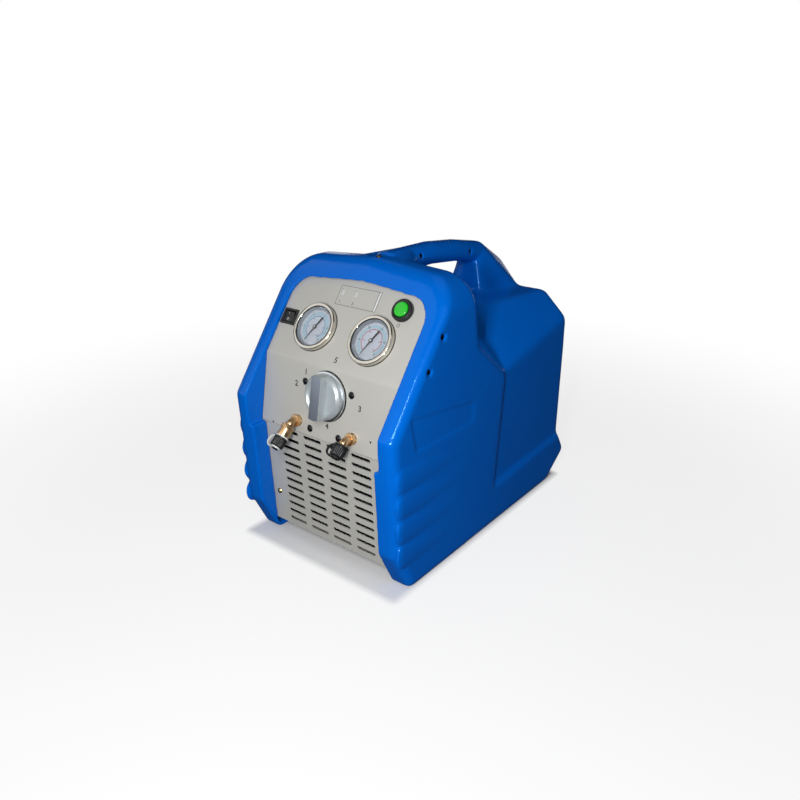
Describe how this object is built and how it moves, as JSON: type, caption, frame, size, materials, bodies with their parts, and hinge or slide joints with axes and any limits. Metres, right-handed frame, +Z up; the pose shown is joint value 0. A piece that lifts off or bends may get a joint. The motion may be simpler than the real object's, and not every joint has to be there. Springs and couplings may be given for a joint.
{
  "type": "refrigerant recovery machine",
  "caption": "Portable refrigerant recovery machine: moulded carrying case with handle, gauges, selector valve, capped service ports, and a fan, condenser, motor and compressor inside.",
  "frame": {"origin": "middle of the base face, where the machine rests", "axes": "+X to the right as the operator faces the control panel, +Y from the control panel towards the rear wall, +Z up"},
  "size_m": [0.254, 0.4298, 0.3599],
  "materials": {
    "shell": "pebbled gloss blue polyethylene moulding",
    "panel": "satin light grey powder coat on sheet steel",
    "tray": "zinc plated sheet steel",
    "black_screws": "black oxide",
    "bright_screws": "zinc plated steel",
    "dark_screws": "dark zinc",
    "gauge_case": "black lacquer",
    "dial": "matt white lacquer",
    "bezel": "polished chrome",
    "lens": "clear flat glass",
    "needle": "matt black",
    "brass": "turned brass",
    "cast_metal": "cast and machined",
    "knob": "satin silver grey moulding",
    "skirt": "bright ring",
    "black_plastic": "satin black moulding",
    "grey_plastic": "dark grey moulding",
    "green_plastic": "translucent green moulding",
    "lamp": "milky lens",
    "cap_plastic": "black moulding",
    "clear_strap": "milky flexible plastic",
    "black_rubber": "matt rubber",
    "fins": "plain pressed fins",
    "copper": "drawn copper tube",
    "steel": "turned steel",
    "painted_motor": "dark grey paint",
    "can": "drawn can"
  },
  "bodies": {
    "machine": {"housing": "shell", "base_tray": "tray", "control_panel": "panel", "grille_panel": "panel", "rear_panel": "panel", "valve_screws": "black_screws", "grille_screws": "bright_screws", "side_screws": "dark_screws", "rear_screws": "dark_screws", "handle_screws": "dark_screws", "top_screw": "bright_screws", "gauge_stems": "brass", "valve_block": "cast_metal", "switch_frame": "black_plastic", "button_bezel": "black_plastic", "button_body": "grey_plastic", "indicator_lamps": "lamp", "left_port_fitting": "brass", "left_port_filter": "brass", "right_port_fitting": "brass", "condenser_fins": "fins", "condenser_coil": "copper", "fan_shroud": "grey_plastic", "motor_body": "painted_motor", "motor_cradle": "tray", "crankcase": "cast_metal", "cylinder_barrels": "cast_metal", "cylinder_heads": "cast_metal", "vibration_mounts": "black_rubber", "run_capacitor": "can", "relay_box": "grey_plastic", "pressure_switch": "steel", "suction_pipe": "copper", "discharge_pipe": "copper", "power_inlet": "black_plastic", "left_gauge_case": "gauge_case", "left_gauge_dial": "dial", "left_gauge_bezel": "bezel", "left_gauge_lens": "lens", "right_gauge_case": "gauge_case", "right_gauge_dial": "dial", "right_gauge_bezel": "bezel", "right_gauge_lens": "lens"},
    "selector": {"selector_knob": "knob", "knob_skirt": "skirt", "knob_set_screw": "black_screws", "valve_stem": "brass"},
    "left_needle": {"left_gauge_needle": "needle"},
    "right_needle": {"right_gauge_needle": "needle"},
    "rocker": {"switch_rocker": "black_plastic"},
    "start_button": {"button_cap": "green_plastic"},
    "left_strap": {"left_cap_tether": "clear_strap"},
    "left_cap": {"left_port_cap": "cap_plastic"},
    "right_strap": {"right_cap_tether": "black_rubber"},
    "right_cap": {"right_port_cap": "cap_plastic"},
    "fan": {"fan_rotor": "black_plastic", "drive_shaft": "steel"}
  },
  "joints": [
    {"name": "selector_turn", "type": "hinge", "parent": "machine", "child": "selector", "pos_m": [0, -0.16483, 0.211], "axis": [0, -0.9838, 0.1795], "range_deg": [-90, 180]},
    {"name": "left_needle_turn", "type": "hinge", "parent": "machine", "child": "left_needle", "pos_m": [-0.043, -0.13363, 0.2775], "axis": [0, 0.8058, -0.5922], "range_deg": [0, 300], "stiffness_Nm_per_rad": 0.0005, "springref_deg": -11.46},
    {"name": "right_needle_turn", "type": "hinge", "parent": "machine", "child": "right_needle", "pos_m": [0.043, -0.13363, 0.2775], "axis": [0, 0.8058, -0.5922], "range_deg": [0, 300], "stiffness_Nm_per_rad": 0.0005, "springref_deg": -11.46},
    {"name": "rocker_tilt", "type": "hinge", "parent": "machine", "child": "rocker", "pos_m": [-0.09, -0.12791, 0.28022], "axis": [1, 0, 0], "range_deg": [-14, 0]},
    {"name": "button_press", "type": "slide", "parent": "machine", "child": "start_button", "axis": [0, 0.8058, -0.5922], "range_m": [0, 0.003], "stiffness_N_per_m": 250, "springref_m": -0.002},
    {"name": "left_cap_travel", "type": "slide", "parent": "machine", "child": "left_strap", "axis": [0, -0.766, -0.6428], "range_m": [0, 0.01016]},
    {"name": "left_cap_turn", "type": "hinge", "parent": "left_strap", "child": "left_cap", "pos_m": [-0.043, -0.19871, 0.15985], "axis": [0, -0.766, -0.6428], "range_deg": [0, 2881]},
    {"name": "right_cap_travel", "type": "slide", "parent": "machine", "child": "right_strap", "axis": [0, -0.766, -0.6428], "range_m": [0, 0.01016]},
    {"name": "right_cap_turn", "type": "hinge", "parent": "right_strap", "child": "right_cap", "pos_m": [0.043, -0.18869, 0.16977], "axis": [0, -0.766, -0.6428], "range_deg": [0, 2881]},
    {"name": "fan_spin", "type": "hinge", "parent": "machine", "child": "fan", "pos_m": [0, -0.12, 0.086], "axis": [0, 1, 0], "continuous": true}
  ],
  "couplings": [
    {"joint": "left_cap_turn", "follows": "left_cap_travel", "rad_per_m": 4947.4},
    {"joint": "right_cap_turn", "follows": "right_cap_travel", "rad_per_m": 4947.4}
  ]
}
